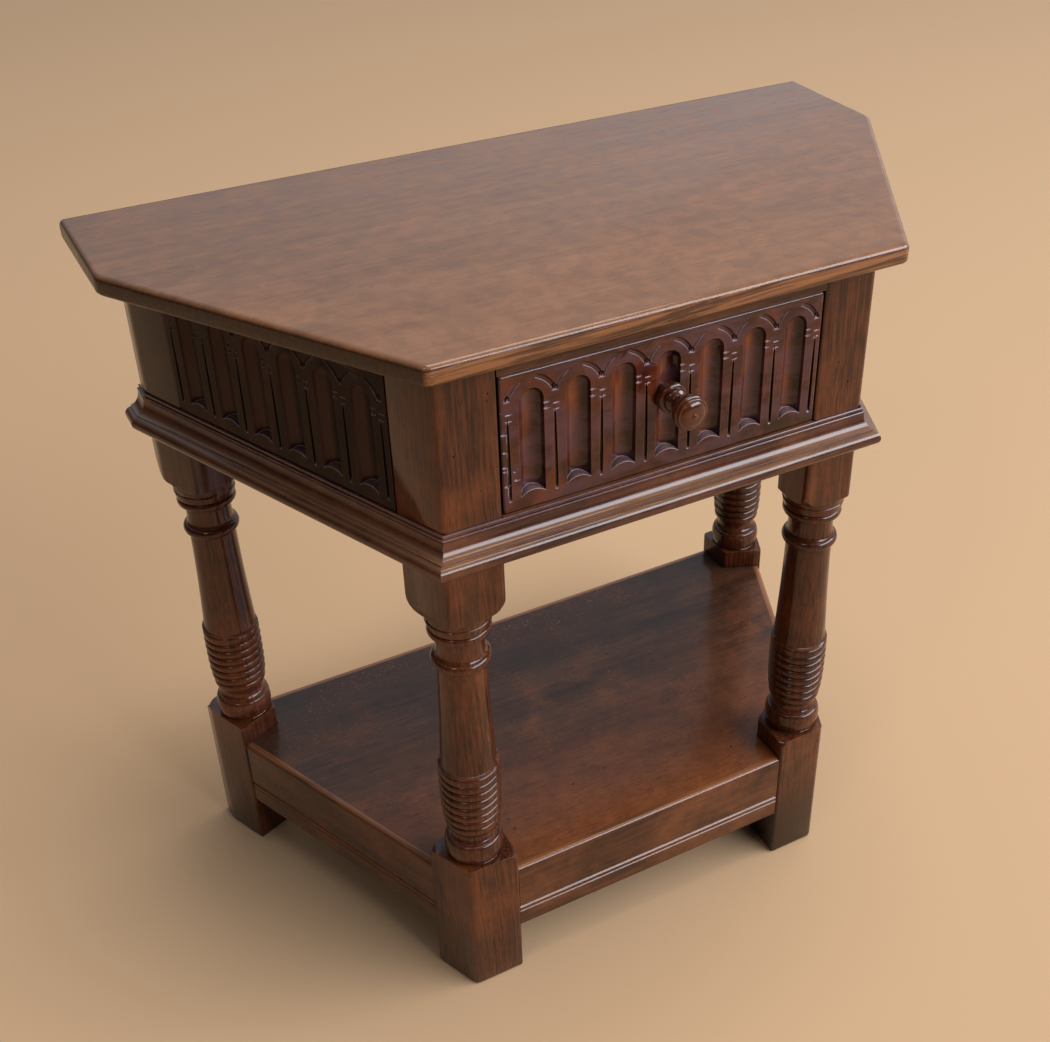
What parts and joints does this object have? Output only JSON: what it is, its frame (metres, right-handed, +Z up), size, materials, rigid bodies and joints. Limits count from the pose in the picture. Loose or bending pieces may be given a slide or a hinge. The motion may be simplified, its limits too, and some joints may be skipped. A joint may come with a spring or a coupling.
{
  "type": "side table",
  "caption": "Canted oak side table with carved arcaded frieze and drawer, moulded edge, turned and reeded legs and a low boarded shelf.",
  "frame": {"origin": "on the floor, under the middle of the table's bounding box", "axes": "+X to the right of someone facing the drawer, +Y from the drawer towards the back, +Z up"},
  "size_m": [0.778, 0.422, 0.72],
  "materials": {
    "oak_top": "dark stained oak, waxed to a soft shine, worn lighter in patches",
    "oak_posts": "dark stained oak, polished, upright grain",
    "oak_carved": "dark stained oak, polished, darker in the carving",
    "oak_moulding": "dark stained oak, polished",
    "oak_rails": "dark stained oak, waxed",
    "oak_shelf": "dark stained oak, dull with wear",
    "oak_knob": "dark turned oak, polished",
    "oak_drawer_box": "plain oak, unpolished",
    "oak_inner": "plain oak, unpolished"
  },
  "bodies": {
    "carcase": {"table_top": "oak_top", "leg_front_left": "oak_posts", "leg_front_right": "oak_posts", "leg_back_left": "oak_posts", "leg_back_right": "oak_posts", "frieze_left": "oak_carved", "frieze_right": "oak_carved", "frieze_back": "oak_rails", "drawer_rail_lower": "oak_rails", "drawer_rail_upper": "oak_rails", "moulding_front": "oak_moulding", "moulding_left": "oak_moulding", "moulding_right": "oak_moulding", "moulding_return_left": "oak_moulding", "moulding_return_right": "oak_moulding", "lower_rail_front": "oak_rails", "lower_rail_left": "oak_rails", "lower_rail_right": "oak_rails", "lower_rail_back": "oak_rails", "shelf": "oak_shelf", "runner_left": "oak_inner", "runner_right": "oak_inner", "guide_left": "oak_inner", "guide_right": "oak_inner", "kicker_left": "oak_inner", "kicker_right": "oak_inner", "drawer_stop_left": "oak_inner", "drawer_stop_right": "oak_inner", "top_block_left_1": "oak_inner", "top_block_left_2": "oak_inner", "top_block_right_1": "oak_inner", "top_block_right_2": "oak_inner", "top_block_back_1": "oak_inner", "top_block_back_2": "oak_inner"},
    "drawer": {"drawer_front": "oak_carved", "drawer_knob": "oak_knob", "drawer_side_left": "oak_drawer_box", "drawer_side_right": "oak_drawer_box", "drawer_back": "oak_drawer_box", "drawer_bottom": "oak_drawer_box"}
  },
  "joints": [
    {"name": "drawer_slide", "type": "slide", "parent": "carcase", "child": "drawer", "axis": [0, -1, 0], "range_m": [0, 0.22]}
  ]
}
